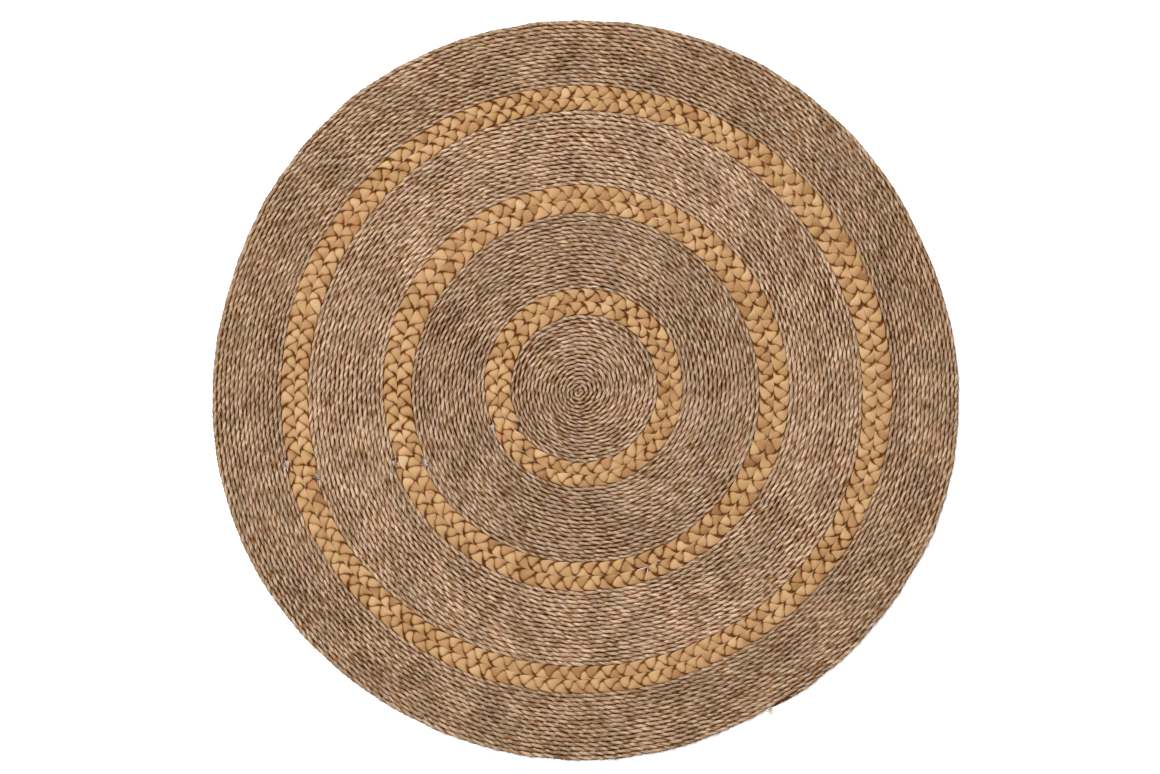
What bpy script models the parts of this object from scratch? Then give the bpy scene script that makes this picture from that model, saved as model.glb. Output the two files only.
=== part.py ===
"""A round floor rug of twisted plant-fibre cord and three bands of braided leaf.

One cord is wound outwards, clockwise seen from above, and stitched row to row. Where a band comes,
the cord is cut, a flat braid runs round twice, and a new length of cord goes on outside it.
Each length of cord and each braid is one solid: a flat bottom, and every row a rib on top.
The unit is the metre, +Z is up, and the rug lies on the plane z = 0.
"""

import math
from collections import namedtuple

import bmesh
import bpy

MM = 0.001

# Height of the valley between two rows, and the points over a row: share across it, and height.
CORD_VALLEY = 3.4 * MM
CORD_RIBS = ((0.5, 6.0 * MM),)
BRAID_VALLEY = 3.2 * MM
BRAID_RIBS = ((0.22, 5.7 * MM), (0.5, 6.6 * MM), (0.78, 5.7 * MM))

# Space between two pieces that lie side by side, and the distance at which two points are one.
CLEARANCE = 0.3 * MM
SAME_POINT = 0.002 * MM

# Half the length over which a braid moves from its inner round to its outer one.
CROSSING_HALF = 18.0 * MM

# Angle between two stations round the rug, in degrees, for the rings and for the small middle.
STATION = 7.5
STATION_MIDDLE = 15.0

# A row stays nearly level and climbs towards the end of its turn: the climb goes with turn ** this.
CLIMB_POWER = 2.0

# The middle of the spiral starts this many degrees after the first row would.
MIDDLE_START = 270.0

# Angles run clockwise from this direction, which is an angle anticlockwise from +X, in degrees.
CLOCK_ZERO = 210.0

# The cord's last end thins out over this length against the row inside it.
END_TAPER = 60.0 * MM

# Circles of the rug, from the middle out, in millimetres and degrees. Each one is a little off
# centre and uneven: its oval part stands out twice in a turn, its lobes three times and its
# ripples five times, and the angle after each says where.
Circle = namedtuple("Circle", "radius shift_x shift_y oval oval_at lobe lobe_at ripple ripple_at")
CIRCLES = {
    "middle": Circle(0.0, -6.0, -1.8, 0.0, 0, 0.0, 0, 0.0, 0),
    "braid_1_inner": Circle(99.5, -1.3, 4.6, 0.4, 175, 0.4, 13, 0.0, 0),
    "braid_1_outer": Circle(133.5, -1.5, 5.3, 0.7, 157, 0.5, 35, 0.0, 0),
    "braid_2_inner": Circle(235.5, 0.5, 3.6, 0.4, 55, 1.8, 90, 0.0, 0),
    "braid_2_outer": Circle(273.5, 0.3, 4.2, 0.9, 165, 1.1, 108, 0.0, 0),
    "braid_3_inner": Circle(374.5, -0.7, 2.0, 0.9, 150, 2.9, 98, 0.0, 0),
    "braid_3_outer": Circle(410.5, 0.1, 1.7, 2.1, 6, 1.9, 107, 0.0, 0),
    "rim": Circle(500.5, -1.0, -0.9, 1.3, 169, 2.1, 105, 2.0, 58),
}

# Lengths of cord: the circles they lie between, the whole turns they make,
# and the directions of their start and end, in degrees anticlockwise from +X.
Coil = namedtuple("Coil", "inner outer turns start_at end_at")
COILS = {
    "middle_coil": Coil("middle", "braid_1_inner", 18, 215.0, 215.0),
    "inner_ring": Coil("braid_1_outer", "braid_2_inner", 18, 202.5, 205.5),
    "middle_ring": Coil("braid_2_outer", "braid_3_inner", 17, 201.0, 198.5),
    "outer_ring": Coil("braid_3_outer", "rim", 15, 193.5, 300.0),
}

# Braids: the coils inside and outside, and the lengths of the small gaps left at the cords' ends.
Braid = namedtuple("Braid", "inside outside inner_gap outer_gap")
BRAIDS = {
    "braid_1": Braid("middle_coil", "inner_ring", 12.0, 19.0),
    "braid_2": Braid("inner_ring", "middle_ring", 12.0, 4.0),
    "braid_3": Braid("middle_ring", "outer_ring", 4.0, 16.0),
}

# Two angles in degrees, or two shares of a turn, closer than this are one.
SAME_ANGLE = 1e-6

# Linear colour and roughness.
CORD_FINISH = ((0.41, 0.27, 0.175, 1.0), 0.85)
BRAID_FINISH = ((0.56, 0.34, 0.17, 1.0), 0.6)


def clear_scene():
    for thing in list(bpy.data.objects):
        bpy.data.objects.remove(thing, do_unlink=True)


def mix(low, high, share):
    return low + (high - low) * share


def clockwise(direction):
    """The clockwise angle of a direction, from 0 up to 360 degrees."""
    return (CLOCK_ZERO - direction) % 360.0


def rug_shape(circle, direction):
    """A circle's shift as x and y, and how far its edge stands out at a direction in radians."""
    oval = circle.oval * math.cos(2 * (direction - math.radians(circle.oval_at)))
    lobe = circle.lobe * math.cos(3 * (direction - math.radians(circle.lobe_at)))
    ripple = circle.ripple * math.cos(5 * (direction - math.radians(circle.ripple_at)))
    return circle.shift_x, circle.shift_y, oval + lobe + ripple


def point_on_rug(radius, angle):
    """The place of an even radius in millimetres and a clockwise angle in degrees, in metres.

    The nearest two circles shift and bend the even radius. Between two stations the point lies
    on the straight line from one to the next, so that neighbours never cross."""
    direction = math.radians(CLOCK_ZERO - angle)
    circles = list(CIRCLES.values())
    pairs = list(zip(circles, circles[1:]))
    below, above = next((pair for pair in pairs if radius <= pair[1].radius), pairs[-1])
    share = (radius - below.radius) / (above.radius - below.radius)
    shapes = zip(rug_shape(below, direction), rug_shape(above, direction))
    shift_x, shift_y, stands_out = (mix(low, high, share) for low, high in shapes)
    half = math.radians(STATION / 2)
    from_middle = math.radians(angle % STATION) - half
    bent = (radius + stands_out) * math.cos(half) / math.cos(from_middle)
    return (bent * math.cos(direction) + shift_x) * MM, (bent * math.sin(direction) + shift_y) * MM


def turns_of(coil):
    """All the turns of a coil: its whole ones and the part between its start and its end.

    An end just short of the start takes a little off the whole turns."""
    part = (coil.start_at - coil.end_at + 90.0) % 360.0 - 90.0
    return coil.turns + part / 360.0


def coil_side(coil):
    """A function: the inner side of a coil's row at a clockwise angle, counted on over the turns.

    Past the last turn it is the coil's outside, which a thinned end draws in to the row before."""
    inner = CIRCLES[coil.inner].radius
    pitch = (CIRCLES[coil.outer].radius - inner) / turns_of(coil)
    start = clockwise(coil.start_at)
    outside_end = coil_ends(coil)[1] + 360.0
    thinning = taper_angle(coil)

    def side(angle):
        if thinning and angle > outside_end - thinning:
            share = 1.0 - (outside_end - angle) / thinning
            return mix(even_side(angle), even_side(angle - 360.0), share)
        return even_side(angle)

    def even_side(angle):
        turn = (angle - start) / 360.0
        whole = math.floor(turn + SAME_ANGLE)
        climb = max(turn - whole, 0.0) ** CLIMB_POWER
        # The mean of the climb over a turn is one third, so the circle stays the mean of the side.
        return inner + pitch * (whole + climb - 1.0 / 3.0)

    return side


def taper_angle(coil):
    """How many degrees before its end a coil starts to thin out: only the one at the rim does."""
    circle = CIRCLES[coil.outer]
    return math.degrees(END_TAPER / MM / circle.radius) if coil.outer == "rim" else 0.0


def coil_ends(coil):
    """The clockwise angles where a coil's row starts and ends."""
    start = clockwise(coil.start_at)
    return start, start + 360.0 * turns_of(coil)


def past_turn(angle, mark):
    """The clockwise angle from a mark, from 0 up to 360 degrees, with 360 counted as 0."""
    return round(angle - mark, 6) % 360.0


def outer_edge(coil, angle):
    """The outside of a coil at a clockwise angle: at its end, the side before the step."""
    last = coil_ends(coil)[1]
    return coil_side(coil)(last + (past_turn(angle, last) or 360.0))


def inner_edge(coil, angle):
    """The inside of a coil at a clockwise angle: at its start, the side after the step."""
    first = coil_ends(coil)[0]
    return coil_side(coil)(first + past_turn(angle, first))


def braid_side(braid):
    """A function for the side of a braid, and its first and last clockwise angles.

    The braid runs its first turn against the coil inside it, crosses over in a short stretch,
    and runs its second turn against the coil outside it. Both of its ends come to a point."""
    inside, outside = COILS[braid.inside], COILS[braid.outside]
    cord_end = clockwise(inside.end_at)
    cord_start = clockwise(outside.start_at)
    inner_radius = CIRCLES[inside.outer].radius
    outer_radius = CIRCLES[outside.inner].radius
    inner_gap = math.degrees(braid.inner_gap / inner_radius)
    outer_gap = math.degrees(braid.outer_gap / outer_radius)
    half = math.degrees(CROSSING_HALF / MM / mix(inner_radius, outer_radius, 0.5))
    # The crossing lies half way between the two cord ends, which may stand on both sides of zero.
    apart = (cord_start - cord_end + 180.0) % 360.0 - 180.0
    crossing = cord_end + apart / 2

    def inner_line(angle):
        past = past_turn(angle, cord_end)
        if past < inner_gap:
            high = outer_edge(inside, cord_end)
            low = outer_edge(inside, cord_end + inner_gap)
            return mix(high, low, past / inner_gap) + CLEARANCE / MM
        return outer_edge(inside, angle) + CLEARANCE / MM

    def outer_line(angle):
        before = past_turn(cord_start, angle)
        if before < outer_gap:
            low = inner_edge(outside, cord_start)
            high = inner_edge(outside, cord_start - outer_gap)
            return mix(low, high, before / outer_gap) - CLEARANCE / MM
        return inner_edge(outside, angle) - CLEARANCE / MM

    def side(angle):
        inner, outer = inner_line(angle), outer_line(angle)
        middle = mix(inner, outer, 0.5)
        past = angle - crossing
        if past <= 360.0 + half:
            share = (past - 360.0 + half) / (2 * half)
            return mix(inner, middle, min(max(share, 0.0), 1.0))
        share = (past - 720.0 + half) / (2 * half)
        return mix(middle, outer, min(max(share, 0.0), 1.0))

    corners = (
        cord_end,
        cord_end + inner_gap,
        cord_start,
        cord_start - outer_gap,
        crossing - half,
        crossing + half,
    )
    return side, crossing - half, crossing + 720.0 + half, corners


def stations(first, last, step, corners):
    """All angles from first to one turn past last, and how many there are in a turn."""
    grid = [step * number for number in range(round(360 / step))]
    phases = {round(angle % 360.0, 6) for angle in grid + list(corners) + [first, last]}
    turns = range(-1, int(last // 360) + 3)
    every = sorted(phase + 360.0 * turn for turn in turns for phase in phases)
    low, high = first - 2 * SAME_ANGLE, last + 360.0 + 2 * SAME_ANGLE
    return [angle for angle in every if low < angle < high], len(phases)


def add_face(bm, corners):
    """A face of these corners, in triangles from the first one, left out where it has no width."""
    kept = [v for number, v in enumerate(corners) if v is not corners[number - 1]]
    for second, third in zip(kept[1:], kept[2:]):
        bm.faces.new((kept[0], second, third))


def wound_solid(name, side, first, last, valley, ribs, step, corners=(), filled=False):
    """The solid of a row wound from the angle first to the angle last, with a flat bottom.

    side is the row's inner side at an angle, and its outer side is side one turn later.
    ribs are the points over a row: the share across it and the height.
    A filled one has no hole: all of its first turn reaches the middle."""
    angles, turn = stations(first, last, step, corners)
    end = len(angles) - 1 - turn
    radii = [0.0 if filled and number < turn else side(a) for number, a in enumerate(angles)]
    even_width = (radii[-1] - radii[turn]) / max((last - first) / 360.0, 1.0)
    bm = bmesh.new()

    def new_vertex(radius, angle, height):
        return bm.verts.new((*point_on_rug(radius, angle), height))

    low = [new_vertex(radius, angle, 0.0) for radius, angle in zip(radii, angles)]
    sides = [new_vertex(radius, angle, valley) for radius, angle in zip(radii, angles)]
    lines = [sides]
    for share, height in ribs:
        line = []
        for number in range(end + 1):
            width = radii[number + turn] - radii[number]
            top = mix(valley, height, min(width / even_width, 1.0))
            line.append(new_vertex(mix(radii[number], radii[number + turn], share), angles[number], top))
        lines.append(line)
    lines.append(sides[turn:])

    for number in range(end):
        for line, following in zip(lines, lines[1:]):
            add_face(bm, (line[number], line[number + 1], following[number + 1], following[number]))
    for number in range(end, end + turn):
        add_face(bm, (low[number], low[number + 1], sides[number + 1], sides[number]))
    if not filled:
        for number in range(turn):
            add_face(bm, (low[number], low[number + 1], sides[number + 1], sides[number]))

    start_profile = [line[0] for line in lines]
    end_profile = [line[end] for line in lines]
    if filled:
        add_face(bm, start_profile)
    else:
        add_face(bm, [low[0]] + start_profile + [low[turn]])
    add_face(bm, [low[end]] + end_profile + [low[end + turn]])
    add_bottom(bm, low, turn, end, filled)

    bmesh.ops.remove_doubles(bm, verts=bm.verts, dist=SAME_POINT)
    bmesh.ops.recalc_face_normals(bm, faces=bm.faces)
    mesh = bpy.data.meshes.new(name)
    bm.to_mesh(mesh)
    bm.free()
    return mesh


def add_bottom(bm, low, turn, end, filled):
    """The flat bottom, from the inner edge to the outer one, station by station."""
    for number in range(turn):
        outer = number + turn * math.ceil((end - number) / turn)
        inner, following = (low[0], low[0]) if filled else (low[number], low[number + 1])
        start_step = [low[turn]] if number == 0 and not filled else []
        end_step = [low[end]] if outer + 1 == end + turn else []
        add_face(bm, [following, inner, *start_step, low[outer]])
        add_face(bm, [low[outer], low[outer + 1], *end_step, following])


def new_material(name, finish):
    colour, roughness = finish
    material = bpy.data.materials.new(name)
    material.use_nodes = True
    shader = material.node_tree.nodes["Principled BSDF"]
    shader.inputs["Base Color"].default_value = colour
    shader.inputs["Roughness"].default_value = roughness
    shader.inputs["Metallic"].default_value = 0.0
    return material


def add_piece(name, mesh, finish):
    mesh.materials.append(new_material(name, finish))
    piece = bpy.data.objects.new(name, mesh)
    bpy.context.scene.collection.objects.link(piece)
    return piece


def make_coil(name, coil):
    first, last = coil_ends(coil)
    filled = coil.inner == "middle"
    if filled:
        first += MIDDLE_START
    step = STATION_MIDDLE if filled else STATION
    side, corners = coil_side(coil), (last - taper_angle(coil),)
    mesh = wound_solid(name, side, first, last, CORD_VALLEY, CORD_RIBS, step, corners, filled)
    return add_piece(name, mesh, CORD_FINISH)


def make_braid(name, braid):
    side, first, last, corners = braid_side(braid)
    mesh = wound_solid(name, side, first, last, BRAID_VALLEY, BRAID_RIBS, STATION, corners)
    return add_piece(name, mesh, BRAID_FINISH)


def centre_on_floor(pieces):
    """Moves every point so that the origin is under the middle of the whole rug's box."""
    for axis in (0, 1):
        places = [vertex.co[axis] for piece in pieces for vertex in piece.data.vertices]
        middle = (min(places) + max(places)) / 2
        for piece in pieces:
            for vertex in piece.data.vertices:
                vertex.co[axis] -= middle


def main():
    clear_scene()
    pieces = [make_coil(name, coil) for name, coil in COILS.items()]
    pieces += [make_braid(name, braid) for name, braid in BRAIDS.items()]
    centre_on_floor(pieces)


main()
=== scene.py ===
# %% [markdown]
# # A round rug of twisted cord and braided leaf
#
# The rug has no backing. Cord, twisted from two plies of dry grass, is wound round and round and
# stitched row to row. In three places the maker cuts the cord, runs a flat braid of leaf round
# twice, and goes on with new cord. The script works in the same order: it makes straight cord and
# straight strips of leaf, and then bends them along the winding.

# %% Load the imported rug
import math
from collections import namedtuple

import bmesh
import bpy
import numpy as np
from mathutils import Matrix


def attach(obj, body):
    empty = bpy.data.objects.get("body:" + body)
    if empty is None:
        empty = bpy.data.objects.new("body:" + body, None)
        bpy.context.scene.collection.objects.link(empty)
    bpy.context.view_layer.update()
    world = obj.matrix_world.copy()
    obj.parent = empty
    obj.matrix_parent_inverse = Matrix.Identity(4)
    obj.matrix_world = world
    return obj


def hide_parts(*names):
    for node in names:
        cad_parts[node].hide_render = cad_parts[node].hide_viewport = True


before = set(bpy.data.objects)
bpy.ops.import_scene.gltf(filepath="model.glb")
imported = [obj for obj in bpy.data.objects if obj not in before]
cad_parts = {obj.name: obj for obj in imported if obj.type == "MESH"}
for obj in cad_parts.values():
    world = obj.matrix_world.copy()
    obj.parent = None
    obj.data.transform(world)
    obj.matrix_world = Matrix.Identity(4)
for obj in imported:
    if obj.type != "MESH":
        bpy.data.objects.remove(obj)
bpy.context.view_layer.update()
MM = 0.001
print("solids:", ", ".join(sorted(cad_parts)))

# %% [markdown]
# ## Camera
#
# The rug was photographed from straight above. A long lens high over the floor gives the same flat
# view. The frame's width in metres is its width in pixels times the size of a pixel on the rug, and
# the camera stands over the frame's middle, which is a few pixels away from the rug's.

# %% Camera
IMAGE_WIDTH, IMAGE_HEIGHT = 1160, 774
PIXEL = 1.3477 * MM
RUG_MIDDLE_X, RUG_MIDDLE_Y = 584.5, 390.5
LENS, SENSOR = 85.0, 36.0

camera_data = bpy.data.cameras.new("camera")
camera_data.lens = LENS
camera_data.sensor_width = SENSOR
camera = bpy.data.objects.new("camera", camera_data)
camera.location = (
    (IMAGE_WIDTH / 2 - RUG_MIDDLE_X) * PIXEL,
    (RUG_MIDDLE_Y - IMAGE_HEIGHT / 2) * PIXEL,
    IMAGE_WIDTH * PIXEL * LENS / SENSOR,
)
bpy.context.scene.collection.objects.link(camera)
bpy.context.scene.camera = camera
print("camera height", round(camera.location.z, 3), "m")

# %% [markdown]
# ## Shader maths
#
# A pattern is easier to read as a formula than as a web of nodes. `Wire` wraps a node's output, and
# Python's signs on it add Math nodes. `Finish` holds one material, and its method `node` adds any
# other kind of node, with its settings first and its inputs after them.


# %% Wires and finishes
class Wire:
    """A node's output. Signs between wires, or a wire and a number, add Math nodes."""

    def __init__(self, finish, socket):
        self.finish = finish
        self.socket = socket

    def maths(self, operation, first, second):
        return self.finish.node("ShaderNodeMath", {0: first, 1: second}, operation=operation)

    def at_least(self, other):
        return self.maths("MAXIMUM", self, other)

    def __add__(self, other):
        return self.maths("ADD", self, other)

    def __mul__(self, other):
        return self.maths("MULTIPLY", self, other)

    def __abs__(self):
        return self.finish.node("ShaderNodeMath", {0: self}, operation="ABSOLUTE")


class Finish:
    """One material, and short names for the nodes that its pattern needs."""

    def __init__(self, name):
        self.material = bpy.data.materials.new(name)
        self.material.use_nodes = True
        self.tree = self.material.node_tree
        self.shader = self.tree.nodes["Principled BSDF"]

    def node(self, kind, inputs, output=0, stops=(), **settings):
        """Adds a node. stops are a ramp's places and colours."""
        made = self.tree.nodes.new(kind)
        for name, value in settings.items():
            setattr(made, name, value)
        for number, (place, colour) in enumerate(stops):
            elements = made.color_ramp.elements
            element = elements[number] if number < 2 else elements.new(place)
            element.position = place
            element.color = (*colour, 1.0)
        for name, value in inputs.items():
            self.connect(made.inputs[name], value)
        return Wire(self, made.outputs[output])

    def connect(self, socket, value):
        if isinstance(value, Wire):
            self.tree.links.new(value.socket, socket)
        elif socket.type == "RGBA":
            socket.default_value = (*value, 1.0)
        else:
            socket.default_value = value

    def attribute(self, name, output="Vector"):
        return self.node("ShaderNodeAttribute", {}, output, attribute_name=name)

    def place(self):
        return self.node("ShaderNodeTexCoord", {}, "Object")

    def axis(self, vector, number):
        return self.node("ShaderNodeSeparateXYZ", {0: vector}, number)

    def point(self, x, y, z):
        return self.node("ShaderNodeCombineXYZ", {0: x, 1: y, 2: z})

    def noise(self, vector, scale=1.0, detail=2.0, roughness=0.5):
        inputs = {"Vector": vector, "Scale": scale, "Detail": detail, "Roughness": roughness}
        return self.node("ShaderNodeTexNoise", inputs)

    def step(self, value, low, high, to_low=0.0, to_high=1.0):
        """A soft step from to_low to to_high as value goes from low to high."""
        inputs = {"Value": value, "From Min": low, "From Max": high, "To Min": to_low, "To Max": to_high}
        return self.node("ShaderNodeMapRange", inputs, interpolation_type="SMOOTHSTEP")

    def mix(self, factor, first, second, blend="MIX"):
        inputs = {0: factor, 6: first, 7: second}
        return self.node("ShaderNodeMix", inputs, 2, data_type="RGBA", blend_type=blend)

    def tinted(self, colour, tint):
        return self.mix(1.0, colour, tint, "MULTIPLY")

    def stretched(self, vector, rates):
        """A vector whose three parts grow at their own rates."""
        return self.node("ShaderNodeVectorMath", {0: vector, 1: rates}, operation="MULTIPLY")

    def ramp(self, value, stops):
        return self.node("ShaderNodeValToRGB", {0: value}, stops=stops)

    def bump(self, height, strength, distance):
        return self.node("ShaderNodeBump", {"Height": height, "Strength": strength, "Distance": distance})

    def done(self, inputs):
        for name, value in inputs.items():
            self.connect(self.shader.inputs[name], value)
        return self.material


# %% [markdown]
# ## Floor and light
#
# The photo has a white ground, which is white in the small gaps of the rug too, and soft light from
# all round, a little stronger from the upper left. A white floor that glows a little, like a
# photographer's light table, gives that ground. The world gives most of the light, and one large
# lamp gives the strands a light side and a dark side.

# %% Floor and light
WHITE = (1.0, 1.0, 1.0)
FLOOR_COLOUR = (0.97, 0.97, 0.97)
FLOOR_HALF = 8.0
FLOOR_GLOW = 0.1
LAMP_SIZE = 3.0
LAMP_PLACE = (-2.3, 2.9, 4.6)
LAMP_POWER = 260.0
SKY_STRENGTH = 0.72

floor_mesh = bpy.data.meshes.new("floor")
floor_shape = bmesh.new()
bmesh.ops.create_grid(floor_shape, x_segments=1, y_segments=1, size=FLOOR_HALF)
floor_shape.to_mesh(floor_mesh)
floor_shape.free()
floor = bpy.data.objects.new("floor", floor_mesh)
bpy.context.scene.collection.objects.link(floor)
floor_look = {
    "Base Color": FLOOR_COLOUR,
    "Roughness": 0.9,
    "Emission Color": WHITE,
    "Emission Strength": FLOOR_GLOW,
}
floor_mesh.materials.append(Finish("pale floor").done(floor_look))

lamp_data = bpy.data.lights.new("soft lamp", "AREA")
lamp_data.size = LAMP_SIZE
lamp_data.energy = LAMP_POWER
lamp = bpy.data.objects.new("soft lamp", lamp_data)
lamp.location = LAMP_PLACE
lamp.rotation_mode = "QUATERNION"
lamp.rotation_quaternion = lamp.location.to_track_quat("Z", "Y")
bpy.context.scene.collection.objects.link(lamp)

sky = bpy.data.worlds.new("soft sky")
sky.use_nodes = True
sky.node_tree.nodes["Background"].inputs["Color"].default_value = (*WHITE, 1.0)
sky.node_tree.nodes["Background"].inputs["Strength"].default_value = SKY_STRENGTH
bpy.context.scene.world = sky
bpy.context.scene.view_settings.view_transform = "Standard"
print("lamp", LAMP_POWER, "W over a floor of", 2 * FLOOR_HALF, "m")

# %% [markdown]
# ## The winding
#
# A rug wound by hand isn't a true circle: each ring is a little off centre, oval and lobed. The
# solids follow a short table of such circles, so the strands have to follow the same one. Only the
# middle is new: the first rows are wound a little oval, as cord that is folded at its start. A place
# is found from an even radius and an angle that runs clockwise, as the winding does, and the circles
# on both sides of it shift and bend it.

# %% The circles of the rug
# Radii, shifts and bulges are in millimetres. A bulge of two, three or five sides points at a
# direction in degrees, anticlockwise from +X.
Circle = namedtuple("Circle", "radius shift_x shift_y oval oval_at lobe lobe_at ripple ripple_at")
CIRCLES = {
    "middle": Circle(0.0, -6.0, -1.8, 1.0, 38, 0.0, 0, 0.0, 0),
    "braid_1_inner": Circle(99.5, -1.3, 4.6, 0.4, 175, 0.4, 13, 0.0, 0),
    "braid_1_outer": Circle(133.5, -1.5, 5.3, 0.7, 157, 0.5, 35, 0.0, 0),
    "braid_2_inner": Circle(235.5, 0.5, 3.6, 0.4, 55, 1.8, 90, 0.0, 0),
    "braid_2_outer": Circle(273.5, 0.3, 4.2, 0.9, 165, 1.1, 108, 0.0, 0),
    "braid_3_inner": Circle(374.5, -0.7, 2.0, 0.9, 150, 2.9, 98, 0.0, 0),
    "braid_3_outer": Circle(410.5, 0.1, 1.7, 2.1, 6, 1.9, 107, 0.0, 0),
    "rim": Circle(500.5, -1.0, -0.9, 1.3, 169, 2.1, 105, 2.0, 58),
}
CLOCK_ZERO = 210.0
RADII = np.array([circle.radius for circle in CIRCLES.values()])
SHAPES = np.array(list(CIRCLES.values()))


def rug_point(radius, angle):
    """Places in metres, from even radii in millimetres and clockwise angles in degrees."""
    direction = np.radians(CLOCK_ZERO - angle)
    below = np.clip(np.searchsorted(RADII, radius) - 1, 0, len(RADII) - 2)
    share = (radius - RADII[below]) / (RADII[below + 1] - RADII[below])

    def shape(number):
        circle = Circle(*SHAPES[number].T)
        oval = circle.oval * np.cos(2 * (direction - np.radians(circle.oval_at)))
        lobe = circle.lobe * np.cos(3 * (direction - np.radians(circle.lobe_at)))
        ripple = circle.ripple * np.cos(5 * (direction - np.radians(circle.ripple_at)))
        return np.array([circle.shift_x, circle.shift_y, oval + lobe + ripple])

    shift_x, shift_y, out = shape(below) * (1 - share) + shape(below + 1) * share
    x = (radius + out) * np.cos(direction) + shift_x
    y = (radius + out) * np.sin(direction) + shift_y
    return np.stack([x, y], axis=-1) * MM


print(len(CIRCLES), "circles out to", RADII[-1], "mm")

# %% [markdown]
# ## Rows of cord
#
# A length of cord starts at the braid inside it and climbs one row in each turn. It stays nearly
# level and does most of the climb at the end of the turn, where the maker steps over the start.
# A line holds what a strand needs to be bent along it: places, directions outwards, the length so
# far, and the width that the row has there.

# %% Rows of cord
# Starts and ends are directions in degrees, anticlockwise from +X. A coil's last millimetres may
# thin out.
Coil = namedtuple("Coil", "inner outer turns start_at end_at thins")
COILS = {
    "middle_coil": Coil("middle", "braid_1_inner", 18, 215.0, 215.0, 12.0),
    "inner_ring": Coil("braid_1_outer", "braid_2_inner", 18, 202.5, 205.5, 0.0),
    "middle_ring": Coil("braid_2_outer", "braid_3_inner", 17, 201.0, 198.5, 0.0),
    "outer_ring": Coil("braid_3_outer", "rim", 15, 193.5, 300.0, 60.0),
}
Line = namedtuple("Line", "place out along wide")
CLIMB_POWER = 2.0
MEAN_CLIMB = 1.0 / (CLIMB_POWER + 1.0)
SAME_ANGLE = 1e-6
# A line has a place every so many degrees.
LINE_STEP = 0.75
# The middle cord starts this many degrees before its first whole row.
MIDDLE_START = 40.0
THINNEST = 0.35


def between(low, high, share):
    return low + (high - low) * share


def clockwise(direction):
    """The clockwise angle of a direction that is anticlockwise from +X, in degrees."""
    return (CLOCK_ZERO - direction) % 360.0


def turns_of(coil):
    """A coil's whole turns, and the part turn from its start to its end, which may be backwards."""
    part = (coil.start_at - coil.end_at + 90.0) % 360.0 - 90.0
    return coil.turns + part / 360.0


def coil_ends(coil):
    start = clockwise(coil.start_at)
    return start, start + 360.0 * turns_of(coil)


def row_pitch(coil):
    return (CIRCLES[coil.outer].radius - CIRCLES[coil.inner].radius) / turns_of(coil)


def row_side(coil, angle):
    """The even radius of the inner side of a coil's row at clockwise angles."""
    turn = (angle - clockwise(coil.start_at)) / 360.0
    whole = np.floor(turn + SAME_ANGLE)
    climb = np.maximum(turn - whole, 0.0) ** CLIMB_POWER
    return CIRCLES[coil.inner].radius + row_pitch(coil) * (whole + climb - MEAN_CLIMB)


def line_between(inner, outer, angle):
    """The line midway between two sides, which are even radii in millimetres."""
    inner_place, outer_place = rug_point(inner, angle), rug_point(outer, angle)
    place = (inner_place + outer_place) / 2
    wide = np.linalg.norm(outer_place - inner_place, axis=1)
    ahead = np.gradient(place, axis=0)
    ahead /= np.linalg.norm(ahead, axis=1)[:, None]
    steps = np.linalg.norm(np.diff(place, axis=0), axis=1)
    along = np.concatenate([[0.0], np.cumsum(steps)])
    return Line(place, np.stack([-ahead[:, 1], ahead[:, 0]], axis=-1), along, wide)


def cord_line(coil):
    """The line of a coil's cord. The middle one thins out past its last row, others within it."""
    first, last = coil_ends(coil)
    outer_radius = CIRCLES[coil.outer].radius
    if coil.inner == "middle":
        first -= MIDDLE_START
        last += math.degrees(coil.thins / outer_radius)
    angle = np.arange(first, last, LINE_STEP)
    wide = np.full(len(angle), row_pitch(coil))
    if coil.thins:
        left = np.radians(last - angle) * outer_radius
        wide *= between(THINNEST, 1.0, np.clip(left / coil.thins, 0.0, 1.0))
    side = row_side(coil, angle)
    return line_between(side, side + wide, angle)


for name, coil in COILS.items():
    print(name, "cord", round(cord_line(coil).along[-1], 2), "m in", round(turns_of(coil), 2), "rows")

# %% [markdown]
# ## Straight cord
#
# Two-ply cord has a section like a figure eight that turns as it goes along. A circle is pulled into
# that section, and a spin with a shift along its own axis twists it through one turn. An Array
# repeats the turn to the length of a whole coil, which is far quicker than one long spin.

# %% Straight cord
# One twist of the cord takes this length, which a cord maker calls its lay.
LAY = 33.0 * MM
CORD_WIDTH = 5.7 * MM
SECTION_SIDES = 10
# How far the section reaches from the cord's middle: at a ply's outer side, on its shoulder, and
# in the notch between the plies. The last two start at an angle from the line through both plies.
PLY_SIDE, PLY_SHOULDER, NOTCH = 3.25 * MM, 2.1 * MM, 0.8 * MM
SHOULDER_FROM, NOTCH_FROM = 30.0, 80.0
MERGE_GAP = 0.02 * MM


def section_reach(angle):
    """How far the section reaches at an angle in degrees from the line through both plies."""
    away = min(abs(angle), 180.0 - abs(angle))
    if away > NOTCH_FROM:
        return NOTCH
    return PLY_SHOULDER if away > SHOULDER_FROM else PLY_SIDE


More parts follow.
